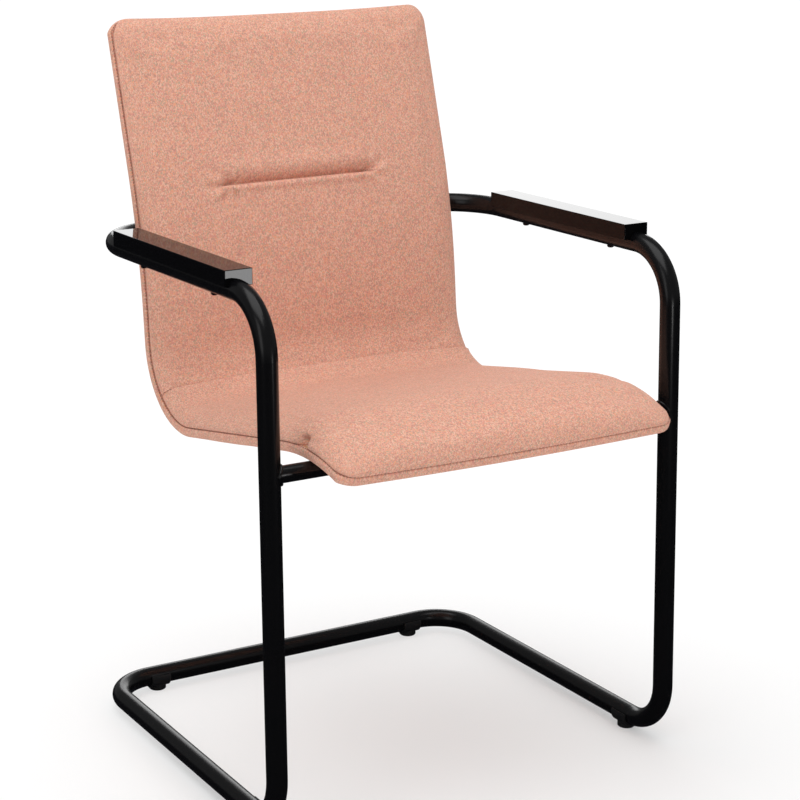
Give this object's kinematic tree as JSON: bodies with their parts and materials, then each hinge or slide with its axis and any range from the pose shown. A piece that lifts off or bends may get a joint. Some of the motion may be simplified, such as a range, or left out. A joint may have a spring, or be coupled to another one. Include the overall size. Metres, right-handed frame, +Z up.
{
  "type": "sled base visitor chair",
  "caption": "Cantilever visitor chair: bent black steel tube sled frame with arms, one-piece upholstered plywood seat and back, gloss black armrest pads",
  "frame": {"origin": "on the floor, under the middle of the chair's width and depth", "axes": "+Z up, -Y the way the sitter faces, +X the sitter's left"},
  "size_m": [0.585, 0.6018, 0.8905],
  "materials": {
    "powder_coated_steel": "semi-gloss black powder coat",
    "sleeve_steel": "bare drawn steel, inside the tube",
    "plywood": "bent beech plywood, under the cover",
    "foam": "cut polyurethane foam, under the cover",
    "fabric": "salmon melange wool upholstery",
    "gloss_black_pad": "high-gloss black lacquer",
    "black_nylon": "moulded black nylon, fine satin",
    "black_zinc_screw": "black zinc plated",
    "zinc_steel": "bright zinc plated",
    "brass": "turned brass"
  },
  "bodies": {
    "root": {"left_frame_tube": "powder_coated_steel", "right_frame_tube": "powder_coated_steel", "floor_weld_sleeve": "sleeve_steel", "back_weld_sleeve": "sleeve_steel", "seat_crossbar": "powder_coated_steel", "crossbar_welds": "powder_coated_steel", "plywood_shell": "plywood", "rear_cover": "fabric", "seat_foam": "foam", "seat_cover": "fabric", "back_foam": "foam", "back_cover": "fabric", "seat_saddle_right": "black_nylon", "seat_saddle_left": "black_nylon", "back_saddle_right": "black_nylon", "back_saddle_left": "black_nylon", "seat_screws": "black_zinc_screw", "seat_screw_washers": "black_zinc_screw", "seat_tee_nuts": "zinc_steel", "back_screws": "black_zinc_screw", "back_screw_washers": "black_zinc_screw", "back_tee_nuts": "zinc_steel", "armrest_right": "gloss_black_pad", "armrest_left": "gloss_black_pad", "armrest_inserts": "brass", "armrest_screws": "black_zinc_screw", "glide_front_right": "black_nylon", "glide_front_left": "black_nylon", "glide_rear_right": "black_nylon", "glide_rear_left": "black_nylon"}
  },
  "joints": []
}
